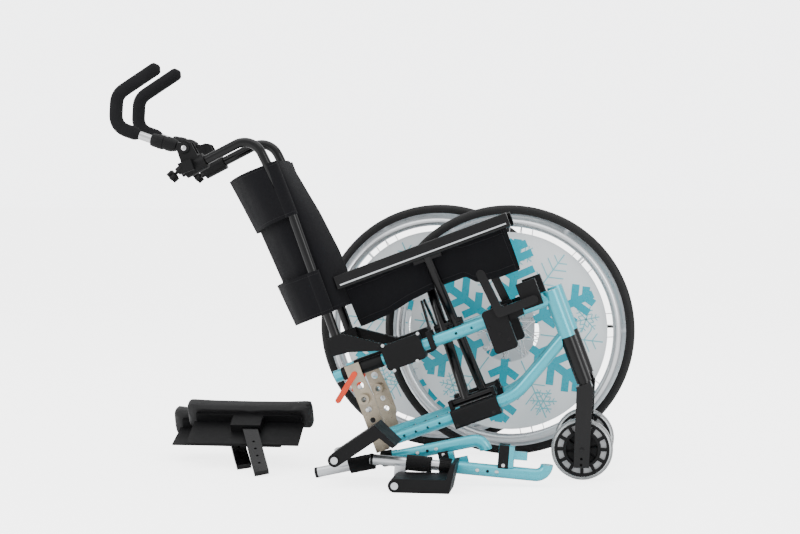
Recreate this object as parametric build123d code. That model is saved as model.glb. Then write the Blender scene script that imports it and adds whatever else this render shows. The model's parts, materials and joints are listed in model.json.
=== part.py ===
from build123d import *
import os
from math import cos, radians, sin

# A child's cross-braced wheelchair, folded narrow and tipped back on its castors, with its rear
# wheels, leg rests and armrests taken off and laid around it.  Millimetres.
# Chair pieces are drawn level, then tipped: +X forward, +Y to the rider's left, +Z up,
# with x = 0 and z = 0 at the middle of the lower rails' brace blocks.

# --- driving sizes of the chair ---
tip_angle = 20.5          # how far the folded chair leans back
tip_x = -242.0            # where the level drawing's origin stands after tipping
frame_half = 90.0         # each side frame's distance from the middle, folded
rail_radius = 14.0
rail_wall = 2.0
rail_height = 179.0       # upper rail above the lower rail
rail_back = -277.0
lower_back = -240.0
post_x = 255.0
post_radius = 18.0
post_top = 197.0
post_bottom = 86.0
fit = 0.05                # running fit between a shaft and its bore
clear = 0.3               # gap between pieces that only lie close

# --- cross-brace and seat ---
brace_length = 365.0      # foot pivot to the seat rail's middle
fold_angle = 19.0         # brace's lean from upright when folded
foot_y = 59.5
foot_z = 27.0
brace_radius = 11.5
brace_bore = 9.0
brace_x = 14.5            # each brace tube's distance fore or aft of the crossing
foot_radius = 10.0
pin_radius = 6.0
bolt_radius = 5.0
seat_back = -200.0
seat_front = 215.0
seat_bottom = 364.0
seat_height = 33.0
seat_width = 22.0
seat_wall = 2.5
sling_drop = 125.0
sling_thickness = 3.0

# --- back ---
cane_x = -243.0
cane_radius = 11.0
cane_wall = 1.5
cane_foot = 236.0
bar_end_x = -450.0
bar_end_z = 744.0
corner_x = -262.0
corner_z = 765.0
cane_bend = 45.0
back_top = 690.0
back_bottom = 322.0
back_depth = 100.0        # how far the folded back cloth hangs behind the canes
back_thickness = 5.0

# --- castors ---
castor_radius = 69.5
castor_width = 26.0
castor_hub_radius = 54.0
castor_trail = 57.0
castor_drop = 163.0
stem_radius = 6.0
castor_axle = 4.0
fork_inside = 17.0
fork_wall = 5.0

# --- push handles ---
pivot_x = -421.0
pivot_z = 794.0
handle_tube = 10.0
grip_radius = 16.0
handle_bend = 35.0

# --- rear wheels, leg rests and armrests, standing or lying loose ---
wheel_radius = 308.0
rim_outer = 287.0
rim_inner = 259.0
handrim_radius = 265.0
handrim_tube = 9.5
guard_outer = 242.0
guard_inner = 76.0
spoke_count = 28
axle_radius = 6.35
near_wheel = (-191.0, 260.0)
far_wheel = (-374.0, 370.0)
hanger_radius = 14.0
collar_radius = 15.5
extension_radius = 11.5
heel_radius = 16.5
hinge_x = -318.0          # footplate's hinge, below the extension tube
hinge_z = -33.0
plate_half = 15.0
plate_side = (-120.0, -22.0)
pad_length = 322.0
pad_width = 72.0
pad_thickness = 26.0
arm_post_angle = 20.0
arm_post_size = (34.0, 12.0, 210.0)


def rod(start, end, radius):
    axis = Vector(*end) - Vector(*start)
    return extrude(Plane(origin=start, z_dir=axis) * Circle(radius), amount=axis.length)


def pipe(start, end, outer, inner):
    return rod(start, end, outer) - rod(start, end, inner)


def block(x, y, z):
    size = Box(x[1] - x[0], y[1] - y[0], z[1] - z[0])
    return Pos((x[0] + x[1]) / 2, (y[0] + y[1]) / 2, (z[0] + z[1]) / 2) * size


def plate(points, y):
    """An outline in the XZ plane, extruded from the first y to the second."""
    outline = Polyline(*[(px, y[0], pz) for px, pz in points], close=True)
    return extrude(make_face(outline), amount=y[1] - y[0], dir=(0, 1, 0))


def bent(points, bend, outer, inner=0.0):
    path = FilletPolyline(*points, radius=bend)
    start = Plane(origin=path @ 0, z_dir=path % 0)
    tube = sweep(start * Circle(outer), path=path)
    if inner:
        tube = tube - sweep(start * Circle(inner), path=path)
    return tube


def ring(outer, inner, width, centre):
    """A ring around an axis along Y."""
    disc = Cylinder(outer, width) - Cylinder(inner, width + 2)
    return Pos(*centre) * Rot(90, 0, 0) * disc


def across(x, z, radius, y):
    return rod((x, y[0], z), (x, y[1], z), radius)


def bar(start, end, width, y):
    """A flat strip with round ends between two points of the XZ plane."""
    line = Vector(end[0] - start[0], 0, end[1] - start[1])
    side = Vector(-line.Z, 0, line.X).normalized() * (width / 2)
    corners = [(p[0] + k * side.X, p[1] + k * side.Z) for p, k in ((start, 1), (end, 1), (end, -1), (start, -1))]
    strip = plate(corners, y)
    return strip + across(*start, width / 2, y) + across(*end, width / 2, y)


rail_y = frame_half
outer_y = frame_half + rail_radius


def rail_hole(z, span):
    return rod((span[0], rail_y, z), (span[1], rail_y, z), rail_radius + fit)


def side_frame():
    lower_bend = 120.0
    lower_line = [(lower_back, rail_y, 0), (97, rail_y, 0), (post_x, rail_y, 92)]
    upper_line = [(rail_back, rail_y, rail_height), (post_x, rail_y, rail_height)]
    frame = rod(*upper_line, rail_radius)
    frame = frame + bent(lower_line, lower_bend, rail_radius)
    frame = frame + rod((post_x, rail_y, post_bottom), (post_x, rail_y, post_top), post_radius)
    below = rod((post_x, rail_y, post_bottom - 40), (post_x, rail_y, post_bottom), post_radius + 1.5)
    frame = frame - below
    bore = rail_radius - rail_wall
    stop = post_x - post_radius - 3
    frame = frame - rod((rail_back, rail_y, rail_height), (stop, rail_y, rail_height), bore)
    frame = frame - rod((lower_back, rail_y, 0), (60, rail_y, 0), bore)
    spigot_top = post_bottom + 32
    frame = frame - rod((post_x, rail_y, post_bottom), (post_x, rail_y, spigot_top), 12 + fit)
    for x in (-62, -33, 22, 60):
        frame = frame - across(x, rail_height, 3.2, (rail_y - 20, rail_y + 20))
    for step in range(4):
        frame = frame - across(-171 + 28.7 * step, 0, 3.2, (rail_y - 20, rail_y + 20))
    return frame


plate_y = (outer_y + clear, outer_y + clear + 5)
receiver_x, receiver_z = -226.0, 110.0


def axle_plate():
    outline = [(-246, 194), (-211, 194), (-211, 165), (-204, 101), (-204, 50)]
    outline += [(-212, 30), (-212, -16), (-244, -16), (-244, 90)]
    body = plate(outline, plate_y)
    for z in (rail_height, 0):
        saddle = block((-244, -212), (rail_y, plate_y[0]), (z - 14, z + 14))
        body = body + (saddle - rail_hole(z, (-250, -200)))
    receiver = (rail_y - 4, plate_y[1] + 16)
    body = body + across(receiver_x, receiver_z, 12, receiver)
    body = body - across(receiver_x, receiver_z, axle_radius, receiver)
    for z, radius in ((142, 8.5), (84, 6.5), (58, 6.5)):
        body = body - across(receiver_x, z, radius, plate_y)
    return body - across(-229, 171, 3.5 + fit, plate_y)


def release_lever():
    y = (plate_y[1] + clear, plate_y[1] + clear + 4)
    lever = bar((-229, 171), (-285, 127), 13, y)
    return lever + across(-229, 171, 3.5, (plate_y[0] + 0.5, y[1]))


def rail_fittings():
    clamp = block((-152, -59), (70, 113), (150, 209))
    clamp = fillet(clamp.edges().filter_by(Axis.Y), 8) - rail_hole(rail_height, (-160, -50))
    arm = [(-266, 226), (-262, 268), (-224, 266), (-140, 209), (-140, 196), (-224, 222)]
    socket = plate(arm, (86, 106)) + block((-262, -225), (74, 106), (226, 268))
    socket = socket - rod((cane_x, rail_y, cane_foot), (cane_x + 0.6, rail_y, 300), cane_radius + fit)
    catch = block((187, 232), (88, 116), (176, 236)) - rail_hole(rail_height, (180, 240))
    return [clamp + socket, catch]


def brace_block(slotted):
    body = block((-54, 57), (75, 108), (-26, 16))
    body = fillet(body.edges().filter_by(Axis.X), 5) - rail_hole(0, (-60, 60))
    for x in ((-54, -46), (49, 57)):
        ear = block(x, (foot_y - 10, 84), (15, foot_z + 10))
        if slotted:
            slot_end = foot_y + 11.5
            slot = block((x[0] - 1, x[1] + 1), (foot_y, slot_end), (foot_z - pin_radius - fit, foot_z + pin_radius + fit))
            ear = ear - slot
            ends = (foot_y, slot_end)
        else:
            ends = (foot_y,)
        for y in ends:
            ear = ear - rod((x[0] - 1, y, foot_z), (x[1] + 1, y, foot_z), pin_radius + fit)
        body = body + ear
    return body


def foot_pin():
    return rod((-56, foot_y, foot_z), (59, foot_y, foot_z), pin_radius)


lean = Vector(0, -sin(radians(fold_angle)), cos(radians(fold_angle)))
crossing_z = foot_z + brace_length / 2 * lean.Z


def along(x, distance):
    """A point of the brace that stands on the left foot pivot."""
    return (x, foot_y + lean.Y * distance, foot_z + lean.Z * distance)


def brace_tube(x):
    """The brace from the left foot up to the right seat rail."""
    hub = rod((-45.7, foot_y, foot_z), (48.7, foot_y, foot_z), foot_radius)
    tube = rod(along(x, 0), along(x, brace_length + 20), brace_radius)
    tube = tube - rod(along(x, foot_radius + 5), along(x, brace_length + 20), brace_bore)
    tube = tube - block((-60, 60), (-120, 120), (seat_bottom, 440))
    top_y = foot_y + lean.Y * (seat_bottom - 6 - foot_z) / lean.Z
    saddle = block((x - 34, x + 34), (top_y - 9, top_y + 9), (seat_bottom - 8, seat_bottom))
    tube = tube + saddle + rod((x - 14, 0, crossing_z), (x + 14, 0, crossing_z), brace_radius - 1)
    return (hub + tube) - rod((-60, foot_y, foot_z), (60, foot_y, foot_z), pin_radius + fit)


def crossing_bolt():
    bolt = rod((-34, 0, crossing_z), (34, 0, crossing_z), bolt_radius)
    for x in (-35, 29):
        bolt = bolt + rod((x, 0, crossing_z), (x + 6, 0, crossing_z), 8.5)
    return bolt


def seat_rail():
    """The right seat rail: a hollow bar with an end cap at each end."""
    y = (-foot_y - seat_width / 2, -foot_y + seat_width / 2)
    z = (seat_bottom, seat_bottom + seat_height)
    body = block((seat_back, seat_front), y, z)
    body = fillet(body.edges().filter_by(Axis.X), 3)
    hollow = block((seat_back, seat_front), (y[0] + seat_wall, y[1] - seat_wall), (z[0] + seat_wall, z[1] - seat_wall))
    solids = [body - hollow]
    for x in (seat_back - 4, seat_front):
        cap = block((x, x + 4), y, z)
        solids.append(fillet(cap.edges().filter_by(Axis.X), 3))
    return solids


def seat_sling():
    edge = foot_y - seat_width / 2 - clear
    top = seat_bottom + seat_height - 6
    half = sling_thickness / 2
    points = [(-edge, top), (-edge + sling_thickness * 1.2, top), (0, top - sling_drop + 2 * half)]
    points += [(edge - sling_thickness * 1.2, top), (edge, top), (0, top - sling_drop - 2 * half)]
    x = seat_back + 8
    outline = Polyline(*[(x, py, pz) for py, pz in points], close=True)
    return extrude(make_face(outline), amount=seat_front - seat_back - 18, dir=(1, 0, 0))


def stay_link():
    """A strap from the upper rail to the brace, beside the crossing tubes."""
    x = (-40, -35)
    start = (rail_y - rail_radius - 12, rail_height + 16)
    end = (26, 268)
    clip = block((-44, -31), (rail_y - 30, rail_y + 16), (rail_height - 16, rail_height + 26))
    clip = clip - rail_hole(rail_height, (-50, -25)) - block((-40.3, -34.7), (40, rail_y - 14.5), (150, 230))
    strap = rod((x[0], *start), (x[1], *start), 7) + rod((x[0], *end), (x[1], *end), 7)
    line = Vector(0, end[0] - start[0], end[1] - start[1])
    side = Vector(0, -line.Z, line.Y).normalized() * 7
    corners = [(x[0], p[0] + k * side.Y, p[1] + k * side.Z) for p, k in ((start, 1), (end, 1), (end, -1), (start, -1))]
    strap = strap + extrude(make_face(Polyline(*corners, close=True)), amount=5, dir=(1, 0, 0))
    pin = rod((-44, *start), (-31, *start), 3.5)
    strap = strap - rod((-41, *start), (-34, *start), 3.5 + fit)
    return strap, clip + pin


def cane():
    foot = (cane_x, rail_y, cane_foot)
    points = [foot, (cane_x + 3, rail_y, 560), (corner_x, rail_y, corner_z), (bar_end_x, rail_y, bar_end_z)]
    return bent(points, cane_bend, cane_radius, cane_radius - cane_wall)


def back_sling():
    """The folded back: two sleeves on the canes, a rear band and a front panel."""
    height = back_top - back_bottom
    sleeves = []
    edge = frame_half - cane_radius - clear
    rear = [(cane_x - 7, edge), (cane_x - back_depth, 0), (cane_x - 7, -edge)]
    front = [(cane_x + 7, -edge), (cane_x + 52, 0), (cane_x + 7, edge)]
    for line in (rear, front):
        shift = back_thickness if line is front else -back_thickness
        inner = [(px - shift, py) for px, py in reversed(line)]
        outline = Polyline(*[(px, py, back_bottom) for px, py in line + inner], close=True)
        sleeves.append(extrude(make_face(outline), amount=height, dir=(0, 0, 1)))
    return sleeves


def castor_housing():
    body = rod((post_x, rail_y, -22), (post_x, rail_y, post_bottom - clear), 17.5)
    body = body + rod((post_x, rail_y, post_bottom - 1), (post_x, rail_y, post_bottom + 30), 12)
    return body - rod((post_x, rail_y, -22), (post_x, rail_y, 64), stem_radius + fit)


castor_x = post_x - castor_trail


def castor_fork():
    crown_top = -22 - clear
    crown = block((234, 269), (rail_y - 22, rail_y + 22), (-38, crown_top - 4))
    fork = crown + rod((post_x, rail_y, -40), (post_x, rail_y, 60), stem_radius)
    fork = fork + rod((post_x, rail_y, -30), (post_x, rail_y, crown_top), 14)
    outline = [(234, -26), (269, -30), (269, -44), (castor_x + 1, -206), (castor_x - 31, -194), (234, -31)]
    for side in (-1, 1):
        inside = rail_y + side * fork_inside
        outside = rail_y + side * (fork_inside + fork_wall)
        blade = plate(outline, (min(inside, outside), max(inside, outside)))
        for low in (20, 34):
            blade = blade - across(castor_x - low * 0.39, -castor_drop - low * 0.92, 3, (rail_y - 30, rail_y + 30))
        fork = fork + blade
    return fork + across(castor_x, -castor_drop, castor_axle, (rail_y - 25, rail_y + 25))


def castor_wheel():
    centre = (castor_x, rail_y, -castor_drop)
    hub = ring(castor_hub_radius, castor_hub_radius - 7, 22, centre)
    hub = hub + ring(castor_hub_radius - 1, 12, 7, centre) + ring(14, castor_axle + fit, 32, centre)
    for step in range(6):
        turn = radians(60 * step + 30)
        x = castor_x + 31 * cos(turn)
        z = -castor_drop + 31 * sin(turn)
        hub = hub - across(x, z, 9.5, (rail_y - 20, rail_y + 20))
    tyre = ring(castor_radius, castor_hub_radius, castor_width, centre)
    outer_edges = tyre.edges().filter_by(GeomType.CIRCLE).sort_by(SortBy.RADIUS)[-2:]
    return [hub, fillet(outer_edges, 9)]


brake_x, brake_z = 134.0, 190.0
brake_y = (106.0, 127.0)


def brake_body():
    body = block((96, 136), (74, 107), (161, 197)) - rail_hole(rail_height, (90, 140))
    shell = block((93, 147), brake_y, (104, 204))
    body = body + fillet(shell.edges().filter_by(Axis.Y), 8)
    body = body + plate([(140, 164), (184, 168), (184, 188), (140, 186)], (112, 116))
    return body - across(brake_x, brake_z, 5 + fit, (brake_y[0] + 5, brake_y[1]))


def brake_lever():
    y = (brake_y[1] + clear + 1, brake_y[1] + clear + 7)
    lever = bar((brake_x, brake_z), (124, 286), 20, y) + bar((brake_x, brake_z), (216, 192), 20, y)
    return lever + across(brake_x, brake_z, 5, (brake_y[0] + 6, y[1]))


bar_slope = (bar_end_z - corner_z) / (bar_end_x - corner_x)


def bar_point(x):
    return (x, rail_y, corner_z + (x - corner_x) * bar_slope)


knob_axis = Vector(-0.93, 0, -0.365).normalized()
knob_seat = Vector(-452, rail_y + 24, 747)


def knob_rod(start, end, radius):
    ends = [knob_seat + knob_axis * d for d in (start, end)]
    return rod(tuple(ends[0]), tuple(ends[1]), radius)


def handle_clamp():
    body = rod(bar_point(-441), bar_point(-386), 18.5)
    ears = [(-440, 752), (-396, 757), (-402, 800), (-412, 808), (-430, 808), (-439, 800)]
    body = body + plate(ears, (rail_y - 14, rail_y + 14))
    body = body + block((-444, -412), (rail_y + 12, rail_y + 32), (738, 764)) + knob_rod(-14, 0, 9)
    slot = block((-460, -380), (rail_y - 9 - clear, rail_y + 9 + clear), (772, 830))
    body = body - slot - rod(bar_point(-447), bar_point(-380), cane_radius + fit)
    body = body - knob_rod(-24, 1, 4 + fit)
    return body + across(pivot_x, pivot_z, 4, (rail_y - 15, rail_y + 15))


def star_knob():
    knob = knob_rod(-22, 12, 4) + knob_rod(8, 22, 9)
    for step in range(5):
        turn = Plane(origin=knob_seat + knob_axis * 8, z_dir=knob_axis)
        lobe = Pos(9.5 * cos(radians(72 * step)), 9.5 * sin(radians(72 * step)), 0) * Circle(5)
        knob = knob + extrude(turn * lobe, amount=14)
    return knob


grip_start = (-512.0, rail_y, 860.4)
grip_corners = [(-560, rail_y, 900), (-530, rail_y, 968), (-412, rail_y, 993)]


def handle_arm():
    socket_end = (-489, rail_y, 841)
    tongue = bar((pivot_x, pivot_z), (-462, 822), 24, (rail_y - 9, rail_y + 9))
    socket = rod((-448, rail_y, 812.7), socket_end, 17)
    tube = bent([(-470, rail_y, 825.7), *grip_corners], handle_bend, handle_tube)
    arm = tongue + socket + tube - across(pivot_x, pivot_z, 4 + fit, (rail_y - 12, rail_y + 12))
    arm = arm - bent([(-500, rail_y, 850.5), *grip_corners], handle_bend, handle_tube - 1.5)
    grip = bent([grip_start, *grip_corners], handle_bend, grip_radius, handle_tube + fit)
    return [arm, grip]


def rear_wheel(place):
    x, y = place
    centre = (x, y, wheel_radius)
    tyre = ring(wheel_radius, rim_outer, 30, centre)
    edges = tyre.edges().filter_by(GeomType.CIRCLE).sort_by(SortBy.RADIUS)[-2:]
    tyre = fillet(edges, 13)
    rim = ring(rim_outer, rim_outer - 4, 26, centre) + ring(rim_outer - 3, rim_inner, 12, centre)
    handrim_y = y - 45
    torus = Pos(x, handrim_y, wheel_radius) * Rot(90, 0, 0) * Torus(handrim_radius, handrim_tube)
    for step in range(6):
        turn = radians(60 * step + 20)
        px, pz = x + handrim_radius * cos(turn), wheel_radius + handrim_radius * sin(turn)
        rim = rim + rod((px, handrim_y + 3, pz), (px, y, pz), 4)
    hub_y = (y - 30, y + 34)
    hub = across(x, wheel_radius, 17, hub_y)
    for flange in (y - 26, y + 26):
        hub = hub + across(x, wheel_radius, 27, (flange - 2, flange + 2))
    hub = hub - across(x, wheel_radius, axle_radius + fit, hub_y)
    spokes = []
    for step in range(spoke_count):
        turn = radians(360 / spoke_count * step)
        side = 26 if step % 2 else -26
        inner = (x + 24 * cos(turn), y + side * 0.86, wheel_radius + 24 * sin(turn))
        outer = (x + (rim_inner - 0.2) * cos(turn), y + side * 0.12, wheel_radius + (rim_inner - 0.2) * sin(turn))
        spokes.append(rod(inner, outer, 1.3))
    guard = ring(guard_outer, guard_inner, 2, (x, y - 31.5, wheel_radius))
    for step in range(4):
        turn = radians(90 * step + 45)
        px, pz = x + 236 * cos(turn), wheel_radius + 236 * sin(turn)
        clip = rod((px, y - 30.5, pz), (px, y - 3, pz), 4)
        foot = (x + (rim_inner - clear) * cos(turn), y - 3, wheel_radius + (rim_inner - clear) * sin(turn))
        guard = guard + clip + rod((px, y - 3, pz), foot, 3)
    axle = across(x, wheel_radius, axle_radius, (y - 36, y + 62))
    axle = axle + across(x, wheel_radius, 11, (y - 38, y - 30 - clear))
    return tyre, [rim, torus - rim], [hub, *spokes], guard, axle


def leg_rest(opening):
    """Along local X from the hanger's bent end at 0 back to the extension's cap; Y is the hinge's line."""
    hanger = bent([(-200, 0, 0), (0, 0, 0), (0, 0, 25)], 24, hanger_radius)
    hanger = hanger + rod((-236, 0, 0), (-199, 0, 0), collar_radius)
    hanger = hanger - rod((-236, 0, 0), (-40, 0, 0), extension_radius + fit)
    latch = block((-107, -83), (-11, 11), (hanger_radius - 2, 61))
    latch = latch + block((-83, -73), (-11, 11), (hanger_radius - 2, 58))
    latch = latch + block((-74, -44), (-5, 5), (30, 48))
    hanger = hanger + latch
    for x in (-151, -108):
        hanger = hanger - rod((x, -20, 0), (x, -8, 0), 4.5)
    extension = rod((-392, 0, 0), (-60, 0, 0), extension_radius)
    bracket = block((hinge_x - 16, hinge_x + 8), (plate_side[1] + 0.5, 8), (hinge_z - 13, -6))
    extension = extension + bracket - rod((-392, 0, 0), (-60, 0, 0), extension_radius - 2)
    extension = extension + across(hinge_x, hinge_z, 5, (plate_side[0] - 1, plate_side[1] + 1))
    extension = extension + across(hinge_x, hinge_z, 8, (plate_side[0] - 4, plate_side[0] - clear))
    low, high = hinge_z - plate_half, hinge_z + plate_half
    outline = [(hinge_x, low), (-200, low), (-186, 16), (-196, 16), (-207, high), (hinge_x, high)]
    tread = plate(outline, plate_side) + across(hinge_x, hinge_z, plate_half, plate_side)
    tread = tread - across(hinge_x, hinge_z, 5 + fit, plate_side)
    hinge = Axis((hinge_x, 0, hinge_z), (0, 1, 0))
    heel = pipe((-309, 0, 0), (-256, 0, 0), heel_radius, extension_radius + fit)
    return hanger, extension, tread.rotate(hinge, opening), heel


def armrest():
    """Pad, side panel and post, upright in their own frame with the pad on top."""
    pad = block((-pad_length / 2, pad_length / 2), (-pad_width / 2, pad_width / 2), (0, pad_thickness))
    pad = fillet(pad.edges().filter_by(Axis.Z), 14)
    bottom_z = 0
    rail = block((-128, 128), (-12, 12), (bottom_z - 12, bottom_z))
    panel = rail + block((-134, 134), (8, 12), (-96, -11))
    panel = panel + block((-36, 36), (-12, 12), (-50, -11))
    wide, thick, length = arm_post_size
    tilt = Pos(0, 0, -20) * Rot(0, -arm_post_angle, 0)
    panel = panel - tilt * Pos(0, 0, -90) * Box(wide + 2 * fit, thick + 2 * fit, 280)
    post = tilt * Pos(0, 0, 4 - length / 2) * Box(wide, thick, length)
    for step in range(4):
        post = post - tilt * Pos(0, 0, -90 - 28 * step) * Rot(90, 0, 0) * Cylinder(3.2, 20)
    return pad, panel, post


# --- gather every node ---
tip_z = castor_radius - castor_x * sin(radians(tip_angle)) + castor_drop * cos(radians(tip_angle))
tipped = Pos(tip_x, 0, tip_z) * Rot(0, -tip_angle, 0)
nodes = {}


def as_list(shape):
    return shape if isinstance(shape, list) else [shape]


def both_sides(name, shape):
    solids = as_list(shape)
    nodes[name + "_left"] = [tipped * s for s in solids]
    nodes[name + "_right"] = [tipped * mirror(s, about=Plane.XZ) for s in solids]


link, link_clip = stay_link()
both_sides("side_frame", side_frame())
both_sides("axle_plate", axle_plate())
both_sides("release_lever", release_lever())
both_sides("rail_fittings", [*rail_fittings(), link_clip])
both_sides("brace_block", brace_block(slotted=True))
right_block = mirror(brace_block(slotted=False), about=Plane.XZ) + mirror(foot_pin(), about=Plane.XZ)
nodes["brace_block_right"] = [tipped * right_block]
both_sides("stay_link", link)
both_sides("cane", cane())
both_sides("castor_housing", castor_housing())
both_sides("castor_fork", castor_fork())
both_sides("castor_wheel", castor_wheel())
both_sides("brake_body", brake_body())
both_sides("brake_lever", brake_lever())
both_sides("handle_clamp", handle_clamp())
both_sides("handle_arm", handle_arm())
both_sides("star_knob", star_knob())

bolt_hole = rod((-60, 0, crossing_z), (60, 0, crossing_z), bolt_radius + fit)
brace_b = brace_tube(brace_x) - bolt_hole
brace_a = mirror(brace_tube(-brace_x), about=Plane.XZ) - bolt_hole
nodes["brace_tube_b"] = [tipped * brace_b, tipped * foot_pin()]
nodes["brace_tube_a"] = [tipped * brace_a, tipped * crossing_bolt()]
nodes["seat_rail_b"] = [tipped * s for s in seat_rail()]
nodes["seat_rail_a"] = [tipped * mirror(s, about=Plane.XZ) for s in seat_rail()]
nodes["seat_sling"] = [tipped * seat_sling()]
nodes["back_sling"] = [tipped * s for s in back_sling()]

for side, place in (("right", near_wheel), ("left", far_wheel)):
    pieces = rear_wheel(place)
    for name, piece in zip(("tyre", "rim", "hub", "spoke_guard", "axle_pin"), pieces):
        nodes[f"wheel_{name}_{side}"] = as_list(piece)



def lay(side, names, pieces, place):
    """Put a loose group in its place, lowered until it meets the floor."""
    placed = [place * piece for piece in pieces]
    low = min(piece.bounding_box().min.Z for piece in placed)
    for name, piece in zip(names, placed):
        nodes[f"{name}_{side}"] = [Pos(0, 0, -low) * piece]


leg_nodes = ("hanger", "leg_extension", "footplate", "heel_loop")
near_lean = 4.3
near_leg = Pos(-75, -197, 23) * Rot(0, near_lean, 0)
far_leg = Pos(-217, -150, 104) * Rot(0, -12.6, 0)
lay("right", leg_nodes, leg_rest(-near_lean), near_leg)
lay("left", leg_nodes, [mirror(piece, about=Plane.XY) for piece in leg_rest(22)], far_leg)

upper_arm = Pos(-794, 34, 116) * Rot(-61, 0, 0)
under_arm = Pos(-855, 134, 80) * Rot(-70, 0, 0)
for side, place in (("right", upper_arm), ("left", under_arm)):
    lay(side, ("arm_pad", "arm_panel", "arm_post"), armrest(), place)

# --- stand the whole on the floor, with the origin under the middle of its box ---
everything = [s for pieces in nodes.values() for piece in pieces for s in piece.solids()]
box = Compound(children=everything).bounding_box()
centred = Pos(-(box.min.X + box.max.X) / 2, -(box.min.Y + box.max.Y) / 2, -box.min.Z)
print("shift", centred.position)
os.makedirs("parts", exist_ok=True)
for name, pieces in nodes.items():
    solids = [s for piece in pieces for s in (centred * piece).solids()]
    export_step(solids[0] if len(solids) == 1 else Compound(children=solids), f"parts/{name}.step")
print(len(nodes), "nodes", box)
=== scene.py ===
import json
import math

import bmesh
import bpy
from mathutils import Matrix, Vector, noise


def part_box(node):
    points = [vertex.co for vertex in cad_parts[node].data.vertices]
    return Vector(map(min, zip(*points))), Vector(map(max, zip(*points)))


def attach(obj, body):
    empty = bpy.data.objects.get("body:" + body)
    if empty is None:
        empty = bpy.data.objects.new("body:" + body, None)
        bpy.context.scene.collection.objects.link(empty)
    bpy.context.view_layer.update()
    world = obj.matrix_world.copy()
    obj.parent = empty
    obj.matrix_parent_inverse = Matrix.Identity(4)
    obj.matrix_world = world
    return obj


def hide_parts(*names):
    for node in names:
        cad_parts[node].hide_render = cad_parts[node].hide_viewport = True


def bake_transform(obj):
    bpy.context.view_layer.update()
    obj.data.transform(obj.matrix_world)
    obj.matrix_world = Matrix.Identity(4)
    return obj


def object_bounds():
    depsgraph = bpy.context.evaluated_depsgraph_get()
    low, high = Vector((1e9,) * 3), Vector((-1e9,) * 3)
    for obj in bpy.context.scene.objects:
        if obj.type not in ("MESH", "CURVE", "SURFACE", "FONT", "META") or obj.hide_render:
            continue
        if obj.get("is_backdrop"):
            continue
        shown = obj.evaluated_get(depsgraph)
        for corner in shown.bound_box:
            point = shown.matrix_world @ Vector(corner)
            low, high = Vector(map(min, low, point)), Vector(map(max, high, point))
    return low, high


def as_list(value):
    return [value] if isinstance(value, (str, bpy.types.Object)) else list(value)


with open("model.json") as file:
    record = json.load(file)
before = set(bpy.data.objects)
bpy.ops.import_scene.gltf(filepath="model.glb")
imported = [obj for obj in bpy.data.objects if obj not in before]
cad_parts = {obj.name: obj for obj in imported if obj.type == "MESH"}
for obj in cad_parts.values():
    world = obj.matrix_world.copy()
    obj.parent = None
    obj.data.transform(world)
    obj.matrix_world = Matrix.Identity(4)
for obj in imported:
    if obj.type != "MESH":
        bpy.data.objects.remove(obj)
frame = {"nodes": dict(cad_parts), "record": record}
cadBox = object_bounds()
nodes = frame["nodes"]
scene = bpy.context.scene
sides = {"right": -1, "left": 1}
print("frame loaded:", len(nodes), "nodes")

# the chair leans back on its castors; its own level drawing is placed from the right axle receiver
lean = math.radians(20.5)
receiverMount = [m for m in frame["record"]["mounts"] if m["name"] == "axle_receiver_right"][0]
receiverLevel = (-226, -105.65, 110)


def leanOnly(x, y, z):
    return Vector((x * math.cos(lean) - z * math.sin(lean), y, x * math.sin(lean) + z * math.cos(lean))) / 1000


chairOrigin = Vector(receiverMount["pos_m"]) - leanOnly(*receiverLevel)


def atChair(x, y, z):  # millimetres on the level chair, to the model's metres
    return chairOrigin + leanOnly(x, y, z)


# ---------- camera ----------
cameraValues = {
    "place": (0.3569, -3.90195, 0.4972),  # from the level chair's origin
    "azimuth": 7.9,
    "dip": 2.57,
    "lens": 76.1,
}


def makeCamera(values):
    azimuth = math.radians(values["azimuth"])
    dip = math.radians(values["dip"])
    ahead = Vector((-math.sin(azimuth) * math.cos(dip), math.cos(azimuth) * math.cos(dip), -math.sin(dip)))
    right = Vector((math.cos(azimuth), math.sin(azimuth), 0))
    up = right.cross(ahead)
    data = bpy.data.cameras.new("camera")
    data.lens = values["lens"]
    data.sensor_width = 36
    data.clip_end = 200
    camera = bpy.data.objects.new("camera", data)
    turn = Matrix((right, up, -ahead)).transposed().to_4x4()
    camera.matrix_world = Matrix.Translation(chairOrigin + Vector(values["place"])) @ turn
    scene.collection.objects.link(camera)
    scene.camera = camera


makeCamera(cameraValues)

# ---------- finishes ----------


def nodeMaterial(name):
    material = bpy.data.materials.new(name)
    material.use_nodes = True
    tree = material.node_tree
    coords = tree.nodes.new("ShaderNodeTexCoord").outputs["Object"]
    return material, tree, tree.nodes["Principled BSDF"], coords


def addNoise(tree, coords, scale, detail=3.0, rough=0.5):
    grain = tree.nodes.new("ShaderNodeTexNoise")
    for socket, value in (("Scale", scale), ("Detail", detail), ("Roughness", rough)):
        grain.inputs[socket].default_value = value
    tree.links.new(coords, grain.inputs["Vector"])
    return grain.outputs["Fac"]


def addRange(tree, value, low, high, fromLow=0.3, fromHigh=0.7):
    span = tree.nodes.new("ShaderNodeMapRange")
    for socket, number in (("From Min", fromLow), ("From Max", fromHigh), ("To Min", low), ("To Max", high)):
        span.inputs[socket].default_value = number
    tree.links.new(value, span.inputs["Value"])
    return span.outputs["Result"]


def addMix(tree, factor, first, second):
    mix = tree.nodes.new("ShaderNodeMix")
    mix.data_type = "RGBA"
    tree.links.new(factor, mix.inputs["Factor"])
    for socket, colour in ((mix.inputs[6], first), (mix.inputs[7], second)):
        if isinstance(colour, tuple):
            socket.default_value = (*colour, 1)
        else:
            tree.links.new(colour, socket)
    return mix.outputs[2]


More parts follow.
